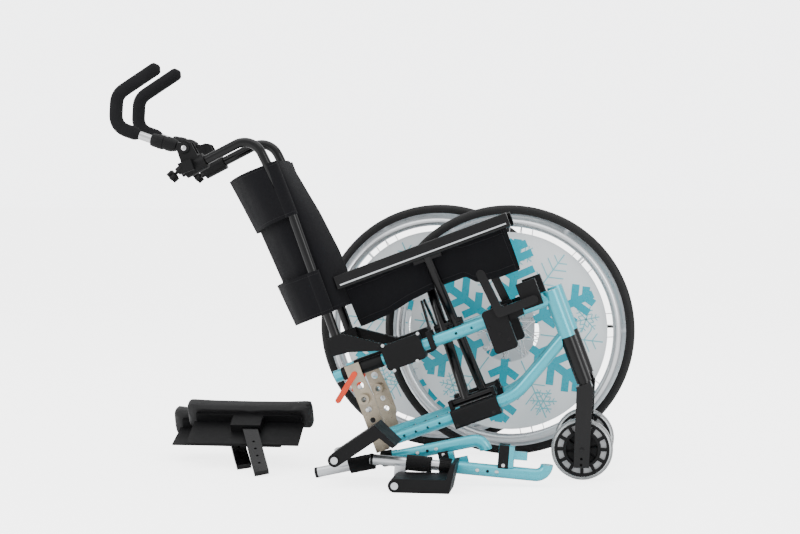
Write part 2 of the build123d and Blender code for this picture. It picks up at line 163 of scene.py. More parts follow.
def addBump(tree, shader, height, strength, distance):
    bump = tree.nodes.new("ShaderNodeBump")
    bump.inputs["Strength"].default_value = strength
    bump.inputs["Distance"].default_value = distance
    tree.links.new(height, bump.inputs["Height"])
    tree.links.new(bump.outputs["Normal"], shader.inputs["Normal"])


def addMath(tree, operation, first, second=None):
    step = tree.nodes.new("ShaderNodeMath")
    step.operation = operation
    for socket, value in zip(step.inputs, (first, second)):
        if isinstance(value, (int, float)):
            socket.default_value = value
        elif value is not None:
            tree.links.new(value, socket)
    return step.outputs[0]


def setShader(shader, values):
    for socket, value in values.items():
        shader.inputs[socket].default_value = value


def hardFinish(name, values):
    material, tree, shader, coords = nodeMaterial(name)
    drift = addNoise(tree, coords, values.get("driftScale", 9), 2)
    fine = addNoise(tree, coords, values["grainScale"], 4, 0.6)
    scuff = addNoise(tree, coords, 60, 6, 0.7)
    colour = values["colour"]
    shade = tuple(c * values.get("shade", 0.85) for c in colour)
    worn = tuple(min(1, c * values.get("wear", 1.25) + 0.004) for c in colour)
    base = addMix(tree, addRange(tree, drift, 0, 1), shade, colour)
    tree.links.new(addMix(tree, addRange(tree, scuff, 0, 1, 0.62, 0.8), base, worn), shader.inputs["Base Color"])
    low, high = values["rough"]
    dull = addRange(tree, addMath(tree, "ADD", fine, scuff), low, high, 0.7, 1.3)
    tree.links.new(dull, shader.inputs["Roughness"])
    setShader(shader, values.get("shader", {}))
    addBump(tree, shader, fine, values["bump"], values.get("bumpDepth", 0.0003))
    return material


def weaveFinish(name, values):
    material, tree, shader, coords = nodeMaterial(name)
    split = tree.nodes.new("ShaderNodeSeparateXYZ")
    tree.links.new(coords, split.inputs[0])
    pitch = 2 * math.pi / values["thread"]
    waves = [addMath(tree, "SINE", addMath(tree, "MULTIPLY", split.outputs[i], pitch)) for i in range(3)]
    weave = addMath(tree, "ADD", addMath(tree, "MULTIPLY", waves[0], waves[2]),
                    addMath(tree, "MULTIPLY", waves[1], waves[2]))
    drift = addNoise(tree, coords, 14, 3)
    fuzz = addNoise(tree, coords, 900, 2)
    thready = addMath(tree, "ADD", weave, fuzz)
    colour = values["colour"]
    lift = tuple(c * 1.8 + 0.002 for c in colour)
    tone = addMix(tree, addRange(tree, drift, 0, 1), colour, lift)
    # painted shade: the weave's valleys are painted darker than the threads
    valleyShade = tuple(c * 0.6 for c in colour)
    tree.links.new(addMix(tree, addRange(tree, thready, 0, 1, -0.6, 1.6), valleyShade, tone), shader.inputs["Base Color"])
    tree.links.new(addRange(tree, drift, 0.75, 0.92), shader.inputs["Roughness"])
    setShader(shader, values["shader"])
    addBump(tree, shader, thready, values["bump"], values["thread"] * 0.2)
    return material


def tyreFinish(name, centre, values):  # fine grooves round the tread, cut across at a slant
    material, tree, shader, coords = nodeMaterial(name)
    mapping = tree.nodes.new("ShaderNodeMapping")
    mapping.inputs["Location"].default_value = tuple(-c for c in centre)
    tree.links.new(coords, mapping.inputs["Vector"])
    split = tree.nodes.new("ShaderNodeSeparateXYZ")
    tree.links.new(mapping.outputs[0], split.inputs[0])
    turn = addMath(tree, "ARCTAN2", split.outputs[2], split.outputs[0])
    across = addMath(tree, "MULTIPLY", addMath(tree, "ABSOLUTE", split.outputs[1]), values["slant"])
    blocks = addMath(tree, "SINE", addMath(tree, "ADD", addMath(tree, "MULTIPLY", turn, values["blocks"]), across))
    rings = addMath(tree, "SINE", addMath(tree, "MULTIPLY", split.outputs[1], values["rings"]))
    tread = addRange(tree, addMath(tree, "MAXIMUM", blocks, rings), 0, 1, 0.5, 0.8)
    dust = addNoise(tree, coords, 40, 5, 0.6)
    colour = addMix(tree, addRange(tree, dust, 0, 1), values["colour"], values["dusty"])
    # painted shade: the tread's grooves are painted darker than the rubber
    grooveShade = tuple(c * 0.7 for c in values["colour"])
    tree.links.new(addMix(tree, tread, grooveShade, colour), shader.inputs["Base Color"])
    tree.links.new(addRange(tree, dust, 0.42, 0.6), shader.inputs["Roughness"])
    setShader(shader, {"Specular IOR Level": 0.25})
    addBump(tree, shader, tread, 0.35, 0.0005)
    return material


finishes = {
    "framePaint": {"colour": (0.030, 0.46, 0.57), "shade": 0.90, "wear": 1.12, "rough": (0.24, 0.36), "grainScale": 700,
                   "bump": 0.03, "shader": {"Metallic": 0.35, "Coat Weight": 0.8, "Coat Roughness": 0.08}},
    "blackPlastic": {"colour": (0.0028, 0.0028, 0.0032), "rough": (0.42, 0.6), "grainScale": 1500, "bump": 0.2,
                     "shader": {"Specular IOR Level": 0.2}},
    "blackPaint": {"colour": (0.002, 0.002, 0.0024), "rough": (0.14, 0.24), "grainScale": 500, "bump": 0.03,
                   "shader": {"Specular IOR Level": 0.25, "Coat Weight": 0.12, "Coat Roughness": 0.05}},
    "zincPlate": {"colour": (0.46, 0.40, 0.31), "shade": 0.72, "rough": (0.22, 0.42), "grainScale": 260, "bump": 0.1,
                  "driftScale": 35, "shader": {"Metallic": 1.0}},
    "orangePlastic": {"colour": (0.72, 0.045, 0.004), "rough": (0.3, 0.4), "grainScale": 900, "bump": 0.1},
    "castorClear": {"colour": (0.80, 0.83, 0.84), "rough": (0.06, 0.14), "grainScale": 800, "bump": 0.03,
                    "shader": {"Transmission Weight": 0.75, "IOR": 1.48}},
    "silverMetal": {"colour": (0.70, 0.72, 0.74), "shade": 0.95, "wear": 1.02, "rough": (0.26, 0.32), "grainScale": 600,
                    "bump": 0.01,
                    "shader": {"Metallic": 0.9}},
    "brightSteel": {"colour": (0.75, 0.75, 0.76), "rough": (0.10, 0.22), "grainScale": 400, "bump": 0.03,
                    "shader": {"Metallic": 1.0}},
    "guardPlastic": {"colour": (0.86, 0.90, 0.92), "shade": 0.97, "wear": 1.01, "rough": (0.16, 0.26),
                     "grainScale": 300,
                     "bump": 0.02, "shader": {"Coat Weight": 0.3}},
    "flakeBlue": {"colour": (0.006, 0.42, 0.54), "shade": 0.9, "wear": 1.02, "rough": (0.24, 0.34),
                  "grainScale": 300, "bump": 0.02},
    "flakePale": {"colour": (0.22, 0.62, 0.70), "shade": 0.85, "rough": (0.24, 0.34), "grainScale": 300, "bump": 0.02},
    "gripFoam": {"colour": (0.005, 0.005, 0.006), "rough": (0.72, 0.9), "grainScale": 1300, "bump": 0.6,
                 "shader": {"Specular IOR Level": 0.2}},
    "padVinyl": {"colour": (0.004, 0.004, 0.0045), "rough": (0.34, 0.55), "grainScale": 420, "bump": 0.3,
                 "shader": {"Specular IOR Level": 0.35}},
    "greyPlastic": {"colour": (0.55, 0.56, 0.57), "rough": (0.35, 0.5), "grainScale": 800, "bump": 0.2},
    "threadGrey": {"colour": (0.016, 0.016, 0.018), "rough": (0.6, 0.8), "grainScale": 2500, "bump": 0.3},
    "whitePlastic": {"colour": (0.78, 0.79, 0.80), "rough": (0.3, 0.4), "grainScale": 800, "bump": 0.1},
}
materials = {name: hardFinish(name, values) for name, values in finishes.items()}
clothValues = {"colour": (0.003, 0.003, 0.0042), "thread": 0.0014, "bump": 0.3,
               "shader": {"Sheen Weight": 0.04, "Sheen Roughness": 0.5, "Specular IOR Level": 0.15}}
materials["blackCloth"] = weaveFinish("blackCloth", clothValues)
webbingValues = {"colour": (0.004, 0.004, 0.0045), "thread": 0.003, "bump": 0.5,
                 "shader": {"Sheen Weight": 0.05, "Specular IOR Level": 0.2}}
materials["blackWebbing"] = weaveFinish("blackWebbing", webbingValues)
tyreValues = {"colour": (0.0075, 0.0075, 0.008), "dusty": (0.011, 0.011, 0.0105), "blocks": 320, "slant": 900,
              "rings": 1900}
for sideName in sides:
    low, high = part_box("wheel_tyre_" + sideName)
    materials["tyre_" + sideName] = tyreFinish("tyre_" + sideName, (low + high) / 2, tyreValues)
print("finishes:", len(materials))

# which finish each kind of frame node takes
finishOf = {
    "framePaint": ["side_frame", "hanger"],
    "blackPlastic": ["rail_fittings", "brace_block", "brake_body", "handle_clamp", "star_knob", "footplate",
                     "arm_panel"],
    "blackPaint": ["cane", "brake_lever", "castor_fork", "castor_housing", "stay_link", "arm_post", "handle_arm",
                   "brace_tube", "seat_rail"],
    "blackCloth": ["seat_sling", "back_sling", "heel_loop"],
    "zincPlate": ["axle_plate"],
    "orangePlastic": ["release_lever"],
    "castorClear": ["castor_wheel"],
    "silverMetal": ["wheel_rim", "leg_extension"],
    "brightSteel": ["wheel_hub", "wheel_axle_pin"],
    "guardPlastic": ["wheel_spoke_guard"],
    "padVinyl": ["arm_pad"],
    "tyre_right": ["wheel_tyre_right"],
    "tyre_left": ["wheel_tyre_left"],
}
for finishName, kinds in finishOf.items():
    for nodeName, node in nodes.items():
        if any(nodeName.startswith(kind) for kind in kinds):
            node.data.materials.clear()
            node.data.materials.append(materials[finishName])

# ---------- floor and light ----------
stageValues = {"floor": (0.93, 0.93, 0.93), "glow": 3.3, "light": 1.25, "backdrop": 4.6, "half": 60.0}
lampValues = {
    "top": {"place": (0, -0.4, 4.0), "size": (5, 4), "power": 85},
    "left": {"place": (-3.4, -2.6, 2.0), "size": (2, 2.6), "power": 75},
    "right": {"place": (3.4, -2.4, 1.8), "size": (2, 2.6), "power": 65},
}


def makeStage(values):
    mesh = bpy.data.meshes.new("floor")
    half = values["half"]
    mesh.from_pydata([(-half, -half, 0), (half, -half, 0), (half, half, 0), (-half, half, 0)], [], [(0, 1, 2, 3)])
    floor = bpy.data.objects.new("floor", mesh)
    scene.collection.objects.link(floor)
    material, tree, shader, coords = nodeMaterial("floorPaper")
    setShader(shader, {"Base Color": (*values["floor"], 1), "Roughness": 0.75, "Emission Color": (1, 1, 1, 1)})
    # the paper reads white while the chair keeps its tones
    seen = tree.nodes.new("ShaderNodeLightPath").outputs["Is Camera Ray"]
    tree.links.new(addMath(tree, "MULTIPLY", seen, values["glow"]), shader.inputs["Emission Strength"])
    mesh.materials.append(material)
    floor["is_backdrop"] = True
    world = bpy.data.worlds.new("studio")
    scene.world = world
    world.use_nodes = True
    tree = world.node_tree
    background = tree.nodes["Background"]
    background.inputs["Color"].default_value = (0.985, 0.99, 1, 1)
    seen = tree.nodes.new("ShaderNodeLightPath").outputs["Is Camera Ray"]
    extra = addMath(tree, "MULTIPLY", seen, values["backdrop"] - values["light"])
    tree.links.new(addMath(tree, "ADD", extra, values["light"]), background.inputs["Strength"])


def makeLamp(name, values):
    data = bpy.data.lights.new(name, "AREA")
    data.shape = "RECTANGLE"
    data.size, data.size_y = values["size"]
    data.energy = values["power"]
    lamp = bpy.data.objects.new(name, data)
    aim = Vector((0, 0, 0.4)) - Vector(values["place"])
    lamp.rotation_euler = aim.to_track_quat("-Z", "Y").to_euler()
    lamp.location = values["place"]
    scene.collection.objects.link(lamp)


makeStage(stageValues)
for lampName, values in lampValues.items():
    makeLamp(lampName, values)
print("stage and lamps ready")

# ---------- making pieces ----------


def newPiece(name, corners, faces, finish, body=None, sharp=35, edges=()):
    mesh = bpy.data.meshes.new(name)
    mesh.from_pydata([tuple(c) for c in corners], list(edges), faces)
    if faces:
        shell = bmesh.new()
        shell.from_mesh(mesh)
        bmesh.ops.remove_doubles(shell, verts=shell.verts, dist=2e-6)
        bmesh.ops.recalc_face_normals(shell, faces=shell.faces)
        shell.to_mesh(mesh)
        shell.free()
        mesh.shade_smooth()
        mesh.set_sharp_from_angle(angle=math.radians(sharp))
    mesh.materials.append(materials[finish])
    piece = bpy.data.objects.new(name, mesh)
    scene.collection.objects.link(piece)
    if body:
        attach(piece, body)
    return piece


def roundedPath(points, bend, steps=8):
    points = [Vector(p) for p in points]
    path = [points[0]]
    for before, corner, after in zip(points, points[1:], points[2:]):
        back, on = (before - corner).normalized(), (after - corner).normalized()
        most = 0.48 * min((before - corner).length, (after - corner).length)
        reach = min(bend / math.tan(back.angle(on) / 2), most)
        start, end = corner + back * reach, corner + on * reach
        path += [(1 - t) ** 2 * start + 2 * t * (1 - t) * corner + t * t * end
                 for t in [i / steps for i in range(steps + 1)]]
    path.append(points[-1])
    return path


def sweep(name, path, radii, finish, body=None, around=20, flat=1.0, sharp=35):
    # a closed tube; radii is one number or one for each point, and flat squeezes it across
    path = [Vector(p) for p in path]
    if isinstance(radii, (int, float)):
        radii = [radii] * len(path)
    corners, faces = [], []
    side = None
    for i, point in enumerate(path):
        ahead = (path[min(i + 1, len(path) - 1)] - path[max(i - 1, 0)]).normalized()
        if side is None:
            side = ahead.cross(Vector((0, 1, 0)) if abs(ahead.y) < 0.9 else Vector((1, 0, 0)))
        side = (side - ahead * side.dot(ahead)).normalized()
        up = ahead.cross(side)
        for k in range(around):
            turn = 2 * math.pi * k / around
            corners.append(point + (side * math.cos(turn) + up * math.sin(turn) * flat) * radii[i])
    for i in range(len(path) - 1):
        for k in range(around):
            a, b = i * around + k, i * around + (k + 1) % around
            faces.append((a, b, b + around, a + around))
    faces.append(tuple(reversed(range(around))))
    faces.append(tuple(range((len(path) - 1) * around, len(path) * around)))
    return newPiece(name, corners, faces, finish, body, sharp)


def stub(name, centre, axis, parts, finish, body=None, around=24):
    # a turned piece: parts are (distance along the axis, radius) from one end to the other
    axis = Vector(axis).normalized()
    path = [Vector(centre) + axis * d for d, r in parts]
    side = axis.orthogonal().normalized()
    up = axis.cross(side)
    corners, faces = [], []
    for point, (d, radius) in zip(path, parts):
        for k in range(around):
            turn = 2 * math.pi * k / around
            corners.append(point + (side * math.cos(turn) + up * math.sin(turn)) * radius)
    for i in range(len(parts) - 1):
        for k in range(around):
            a, b = i * around + k, i * around + (k + 1) % around
            faces.append((a, b, b + around, a + around))
    faces.append(tuple(reversed(range(around))))
    faces.append(tuple(range((len(parts) - 1) * around, len(parts) * around)))
    return newPiece(name, corners, faces, finish, body)


def slab(name, outline, y, bevel, finish, body=None, place=atChair, segments=3):
    # a plate cut to an outline (x, z), between two values of y, with rounded edges; millimetres
    count = len(outline)
    corners = [place(x, y[0], z) for x, z in outline] + [place(x, y[1], z) for x, z in outline]
    faces = [tuple(range(count)), tuple(range(count, 2 * count))]
    faces += [(k, (k + 1) % count, count + (k + 1) % count, count + k) for k in range(count)]
    piece = newPiece(name, corners, faces, finish)
    if bevel:
        shell = bmesh.new()
        shell.from_mesh(piece.data)
        bmesh.ops.bevel(shell, geom=shell.edges[:], offset=bevel / 1000, segments=segments, affect="EDGES",
                        profile=0.5, clamp_overlap=True)
        shell.to_mesh(piece.data)
        shell.free()
        piece.data.shade_smooth()
        piece.data.set_sharp_from_angle(angle=math.radians(50))
    if body:
        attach(piece, body)
    return piece


def brick(name, x, y, z, bevel, finish, body=None, place=atChair):
    return slab(name, [(x[0], z[0]), (x[1], z[0]), (x[1], z[1]), (x[0], z[1])], y, bevel, finish, body, place)


def joinPieces(name, pieces, body=None):
    # one object of several, each keeping its own finish
    joined = bmesh.new()
    finishesUsed = []
    for piece in pieces:
        finish = piece.data.materials[0]
        if finish not in finishesUsed:
            finishesUsed.append(finish)
        for polygon in piece.data.polygons:
            polygon.material_index = finishesUsed.index(finish)
        joined.from_mesh(piece.data)
        bpy.data.objects.remove(piece)
    mesh = bpy.data.meshes.new(name)
    joined.to_mesh(mesh)
    joined.free()
    for finish in finishesUsed:
        mesh.materials.append(finish)
    whole = bpy.data.objects.new(name, mesh)
    scene.collection.objects.link(whole)
    if body:
        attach(whole, body)
    return whole


def lathe(name, centre, profile, finish, body=None, around=96):
    # a closed profile of (radius, y) in millimetres, turned about the y line through centre
    corners, faces = [], []
    count = len(profile)
    for k in range(around):
        turn = 2 * math.pi * k / around
        corners += [centre + Vector((r * math.cos(turn), y, r * math.sin(turn))) / 1000 for r, y in profile]
    for k in range(around):
        for i in range(count):
            a, b = k * count + i, k * count + (i + 1) % count
            c, d = (k + 1) % around * count + (i + 1) % count, (k + 1) % around * count + i
            faces.append((a, b, c, d))
    return newPiece(name, corners, faces, finish, body)


def foldedSheet(name, rows, finish, thick=1.2):
    # a sheet through rows of points, given a wall; metres
    count = len(rows[0])
    corners = [point for row in rows for point in row]
    faces = [(i * count + k, i * count + k + 1, (i + 1) * count + k + 1, (i + 1) * count + k)
             for i in range(len(rows) - 1) for k in range(count - 1)]
    piece = newPiece(name, corners, faces, finish, sharp=60)
    wall = piece.modifiers.new("wall", "SOLIDIFY")
    wall.thickness = thick / 1000
    wall.offset = 0
    bpy.context.view_layer.update()
    mesh = bpy.data.meshes.new_from_object(piece.evaluated_get(bpy.context.evaluated_depsgraph_get()))
    piece.modifiers.remove(wall)
    piece.data = mesh
    mesh.shade_smooth()
    mesh.set_sharp_from_angle(angle=math.radians(60))
    return piece


def level(x, table):
    # straight lines between (x, value) pairs
    for (x0, v0), (x1, v1) in zip(table, table[1:]):
        if x <= x1:
            return v0 + (v1 - v0) * max(0, (x - x0) / (x1 - x0))
    return table[-1][1]


# ---------- geometry node trees ----------


def startTree(name, inputs):
    tree = bpy.data.node_groups.new(name, "GeometryNodeTree")
    tree.interface.new_socket("Geometry", in_out="INPUT", socket_type="NodeSocketGeometry")
    for inputName, kind in inputs:
        tree.interface.new_socket(inputName, in_out="INPUT", socket_type=kind)
    tree.interface.new_socket("Geometry", in_out="OUTPUT", socket_type="NodeSocketGeometry")
    return tree, tree.nodes.new("NodeGroupInput"), tree.nodes.new("NodeGroupOutput")


def finishTree(tree, given, last, out):
    real = tree.nodes.new("GeometryNodeRealizeInstances")
    paint = tree.nodes.new("GeometryNodeSetMaterial")
    tree.links.new(last, real.inputs[0])
    tree.links.new(real.outputs[0], paint.inputs["Geometry"])
    tree.links.new(given.outputs["Finish"], paint.inputs["Material"])
    tree.links.new(paint.outputs[0], out.inputs[0])


def makeRingTree():  # copies of the mesh turned about an axis through a centre
    tree, given, out = startTree("ringCopies", [("Count", "NodeSocketInt"), ("Centre", "NodeSocketVector"),
                                               ("Axis", "NodeSocketVector"), ("Finish", "NodeSocketMaterial")])
    link = tree.links.new
    shift = tree.nodes.new("GeometryNodeTransform")
    back = tree.nodes.new("ShaderNodeVectorMath")
    back.operation = "SCALE"
    back.inputs["Scale"].default_value = -1
    link(given.outputs["Centre"], back.inputs[0])
    link(given.outputs["Geometry"], shift.inputs["Geometry"])
    link(back.outputs[0], shift.inputs["Translation"])
    points = tree.nodes.new("GeometryNodePoints")
    link(given.outputs["Count"], points.inputs["Count"])
    link(given.outputs["Centre"], points.inputs["Position"])
    index = tree.nodes.new("GeometryNodeInputIndex")
    share = tree.nodes.new("ShaderNodeMath")
    share.operation = "DIVIDE"
    link(index.outputs[0], share.inputs[0])
    link(given.outputs["Count"], share.inputs[1])
    turn = tree.nodes.new("ShaderNodeMath")
    turn.operation = "MULTIPLY"
    turn.inputs[1].default_value = 2 * math.pi
    link(share.outputs[0], turn.inputs[0])
    rotate = tree.nodes.new("FunctionNodeAxisAngleToRotation")
    link(given.outputs["Axis"], rotate.inputs["Axis"])
    link(turn.outputs[0], rotate.inputs["Angle"])
    copies = tree.nodes.new("GeometryNodeInstanceOnPoints")
    link(points.outputs[0], copies.inputs["Points"])
    link(shift.outputs[0], copies.inputs["Instance"])
    link(rotate.outputs[0], copies.inputs["Rotation"])
    finishTree(tree, given, copies.outputs[0], out)
    return tree


def makeStitchTree():  # short rounded threads laid along the edges of the mesh
    tree, given, out = startTree("stitches", [("Spacing", "NodeSocketFloat"), ("Length", "NodeSocketFloat"),
                                             ("Thread", "NodeSocketFloat"), ("Finish", "NodeSocketMaterial")])
    link = tree.links.new
    curve = tree.nodes.new("GeometryNodeMeshToCurve")
    link(given.outputs["Geometry"], curve.inputs[0])
    even = tree.nodes.new("GeometryNodeCurveToPoints")
    even.mode = "LENGTH"
    link(curve.outputs[0], even.inputs["Curve"])
    link(given.outputs["Spacing"], even.inputs["Length"])
    thread = tree.nodes.new("GeometryNodeMeshCylinder")
    thread.inputs["Vertices"].default_value = 6
    link(given.outputs["Thread"], thread.inputs["Radius"])
    link(given.outputs["Length"], thread.inputs["Depth"])
    align = tree.nodes.new("FunctionNodeAlignRotationToVector")
    align.axis = "Z"
    link(even.outputs["Tangent"], align.inputs["Vector"])
    copies = tree.nodes.new("GeometryNodeInstanceOnPoints")
    link(even.outputs[0], copies.inputs["Points"])
    link(thread.outputs[0], copies.inputs["Instance"])
    link(align.outputs[0], copies.inputs["Rotation"])
    finishTree(tree, given, copies.outputs[0], out)
    return tree


def makeScrewTree():  # a round head with a smaller boss on each point, facing one way
    tree, given, out = startTree("screwHeads", [("Radius", "NodeSocketFloat"), ("Height", "NodeSocketFloat"),
                                               ("Facing", "NodeSocketVector"), ("Finish", "NodeSocketMaterial")])
    link = tree.links.new
    points = tree.nodes.new("GeometryNodeMeshToPoints")
    link(given.outputs["Geometry"], points.inputs[0])
    head = tree.nodes.new("GeometryNodeMeshCylinder")
    head.inputs["Vertices"].default_value = 20
    link(given.outputs["Radius"], head.inputs["Radius"])
    link(given.outputs["Height"], head.inputs["Depth"])
    boss = tree.nodes.new("GeometryNodeMeshCone")
    boss.inputs["Vertices"].default_value = 20
    for socket, share in (("Radius Bottom", 0.86), ("Radius Top", 0.5)):
        part = tree.nodes.new("ShaderNodeMath")
        part.operation = "MULTIPLY"
        part.inputs[1].default_value = share
        link(given.outputs["Radius"], part.inputs[0])
        link(part.outputs[0], boss.inputs[socket])
    link(given.outputs["Height"], boss.inputs["Depth"])
    both = tree.nodes.new("GeometryNodeJoinGeometry")
    link(head.outputs[0], both.inputs[0])
    link(boss.outputs[0], both.inputs[0])
    align = tree.nodes.new("FunctionNodeAlignRotationToVector")
    align.axis = "Z"
    link(given.outputs["Facing"], align.inputs["Vector"])
    copies = tree.nodes.new("GeometryNodeInstanceOnPoints")
    link(points.outputs[0], copies.inputs["Points"])
    link(both.outputs[0], copies.inputs["Instance"])
    link(align.outputs[0], copies.inputs["Rotation"])
    finishTree(tree, given, copies.outputs[0], out)
    return tree


ringTree, stitchTree, screwTree = makeRingTree(), makeStitchTree(), makeScrewTree()


def grow(piece, tree, values, finish, body=None):
    modifier = piece.modifiers.new("grow", "NODES")
    modifier.node_group = tree
    for item in tree.interface.items_tree:
        if item.item_type == "SOCKET" and item.in_out == "INPUT" and item.name in values:
            modifier[item.identifier] = values[item.name]
        if item.item_type == "SOCKET" and item.name == "Finish":
            modifier[item.identifier] = materials[finish]
    bpy.context.view_layer.update()
    grown = piece.evaluated_get(bpy.context.evaluated_depsgraph_get())
    mesh = bpy.data.meshes.new_from_object(grown)
    piece.modifiers.remove(modifier)
    piece.data = mesh
    mesh.materials.clear()
    mesh.materials.append(materials[finish])
    for polygon in mesh.polygons:
        polygon.material_index = 0
    mesh.shade_smooth()
    mesh.set_sharp_from_angle(angle=math.radians(40))
    if body:
        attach(piece, body)
    return piece


def screws(name, points, radius, height, finish, body, facing=(0, -1, 0)):
    heads = newPiece(name, points, [], finish)
    values = {"Radius": radius / 1000, "Height": height / 1000, "Facing": Vector(facing)}
    return grow(heads, screwTree, values, finish, body)


def stitchLine(name, path, finish, body=None, spacing=0.0042, length=0.0027, thread=0.00035):
    line = newPiece(name, path, [], finish, edges=[(k, k + 1) for k in range(len(path) - 1)])
    return grow(line, stitchTree, {"Spacing": spacing, "Length": length, "Thread": thread}, finish, body)


print("node trees ready")

# ---------- rear wheels ----------
rimValues = {"profile": [(286.5, -12.5), (289.5, -10), (289.5, 10), (286.5, 12.5), (284, 11), (276, 8), (266, 7),
                         (258.5, 4), (258.5, -4), (266, -7), (276, -8), (284, -11)],
             "handrim": 265.0, "handrimTube": 9.3, "handrimOut": 45.0, "tabs": 6}
hubValues = {"profile": [(0, 30), (10, 30), (10, 33), (6.6, 34), (6.6, -30), (12, -30), (17, -28), (28, -26),
                         (28, -22.5),
                         (17, -20), (13, -12), (13, 12), (17, 20), (28, 22.5), (28, 26), (17, 28)],
             "spokeRing": 24.0, "spokeThick": 1.1, "rimRing": 258.0, "crossing": 78.0}
guardValues = {"face": -32.5,
               "broad": {"arms": 6, "inner": 70, "outer": 226, "width": 19, "turn": 0.42, "height": 0.5, "stub": 0.95,
                         "branches": [(92, 40), (132, 54), (176, 44), (206, 26)]},
               "fine": {"arms": 6, "inner": 80, "outer": 232, "width": 3.0, "turn": 0.94, "height": 0.45, "stub": 0.8,
                        "branches": [(120, 26), (142, 34), (164, 38), (186, 32), (206, 22)]},
               "small": {"arms": 6, "inner": 0, "outer": 33, "width": 2.6, "turn": 0.2, "height": 0.4, "stub": 0.85,
                         "branches": [(12, 11), (22, 9)], "away": 190, "round": 5}}


def flatBar(start, end, width, y, height):
    # corners and faces of a thin bar in the x, z plane
    ahead = Vector((end[0] - start[0], 0, end[1] - start[1])).normalized()
    side = Vector((-ahead.z, 0, ahead.x)) * width / 2
    corners = []
    for depth in (y, y - height):
        for point, way in ((start, 1), (end, 1), (end, -1), (start, -1)):
            corners.append(Vector((point[0], depth, point[1])) + side * way)
    return corners, [(0, 1, 2, 3), (7, 6, 5, 4), (0, 4, 5, 1), (1, 5, 6, 2), (2, 6, 7, 3), (3, 7, 4, 0)]


def flakeArm(name, centre, values, finish, body=None):
    corners, faces = [], []
    bars = [((values["inner"], 0), (values["outer"], 0), values["width"])]
    for along, length in values["branches"]:
        for way in (-1, 1):
            tip = (along + length * 0.5, way * length * 0.866)
            bars.append(((along, 0), tip, values["width"] * values["stub"]))
    turn = values["turn"]
    for k, (start, end, wide) in enumerate(bars):
        spin = [(p[0] * math.cos(turn) - p[1] * math.sin(turn), p[0] * math.sin(turn) + p[1] * math.cos(turn))
                for p in (start, end)]
        barCorners, barFaces = flatBar(*spin, wide, guardValues["face"], values["height"] + 0.03 * k)
        faces += [tuple(f + len(corners) for f in face) for face in barFaces]
        corners += [centre + c / 1000 for c in barCorners]
    arm = newPiece(name, corners, faces, finish)
    ring = {"Count": values["arms"], "Centre": centre, "Axis": Vector((0, 1, 0))}
    return grow(arm, ringTree, ring, finish, body)


def makeWheel(side):
    body = "rear_wheel_" + side
    low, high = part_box("wheel_tyre_" + side)
    centre = (low + high) / 2
    rim = lathe("rimBand_" + side, centre, rimValues["profile"], "silverMetal", body, 128)
    tube, out = rimValues["handrimTube"], -rimValues["handrimOut"]
    profile = [(rimValues["handrim"] + tube * math.cos(t), out + tube * math.sin(t))
               for t in [2 * math.pi * k / 16 for k in range(16)]]
    handrim = lathe("handrim_" + side, centre, profile, "silverMetal", body, 128)
    tab = sweep("handrimTabs_" + side, [centre + Vector((rimValues["handrim"], out, 0)) / 1000,
                                       centre + Vector((268, -6, 0)) / 1000], 0.004, "silverMetal", around=10)
    ringValues = {"Count": rimValues["tabs"], "Centre": centre, "Axis": Vector((0, 1, 0))}
    tabs = grow(tab, ringTree, ringValues, "silverMetal", body)
    valveEnd = 258.5 - 34
    valve = stub("valve_" + side, centre + Vector((valveEnd, 0, 10)) / 1000, (1, 0, 0),
                 [(0, 0.002), (0.001, 0.0033), (0.012, 0.0033), (0.0125, 0.0026), (0.036, 0.0026)],
                 "blackPlastic", body, 12)
    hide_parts("wheel_rim_" + side)
    hub = lathe("hubShell_" + side, centre, hubValues["profile"], "brightSteel", body, 32)
    spokes = []
    for flange in (-24, 24):
        for way in (-1, 1):
            start, end = hubValues["spokeRing"], hubValues["rimRing"]
            spread = math.radians(way * hubValues["crossing"])
            lead = math.radians(6.4 * (1 if flange > 0 else 0) + 3.2 * way)
            foot = Vector((start * math.cos(spread + lead), flange, start * math.sin(spread + lead)))
            tip = Vector((end * math.cos(lead), flange * 0.12, end * math.sin(lead)))
            spokes.append(sweep("spoke", [centre + foot / 1000, centre + tip / 1000],
                                hubValues["spokeThick"] / 1000, "brightSteel", around=6))
    spokeSet = joinPieces("spokes_" + side, spokes)
    spokeValues = {"Count": 9, "Centre": centre, "Axis": Vector((0, 1, 0))}
    spokeSet = grow(spokeSet, ringTree, spokeValues, "brightSteel", body)
    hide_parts("wheel_hub_" + side)
    broad = flakeArm("broadFlake_" + side, centre, guardValues["broad"], "flakeBlue", body)
    fine = flakeArm("fineFlake_" + side, centre, guardValues["fine"], "flakePale", body)
    away = guardValues["small"]["away"] / 1000
    small = flakeArm("smallFlakes_" + side, centre + Vector((away, 0, 0.03)), guardValues["small"], "flakePale")
    smallRing = {"Count": guardValues["small"]["round"], "Centre": centre, "Axis": Vector((0, 1, 0))}
    small = grow(small, ringTree, smallRing, "flakePale", body)


for side in sides:
    makeWheel(side)
print("rear wheels ready")

# ---------- castors ----------
castorValues = {"tyre": [(69.3, -8), (67.5, -11.5), (66, -12.5), (62, -12), (62, 12), (66, 12.5), (67.5, 11.5),
                         (69.3, 8)],
                "hubRing": [(62.1, -11.5), (62.1, 11.5), (56, 11.5), (55, 2.2), (43, 2.2), (42, 10), (36, 10),
                            (35, 1.2), (16, 1.2), (15, 15.8), (4.3, 15.8), (4.3, -15.8), (15, -15.8), (16, -1.2),
                            (35, -1.2), (36, -10), (42, -10), (43, -2.2), (55, -2.2), (56, -11.5)],
                "slotFloor": [(55.2, 2.25), (55.2, 2.6), (42.8, 2.6), (42.8, 2.25)],
                "ribs": 12, "spokes": 8}


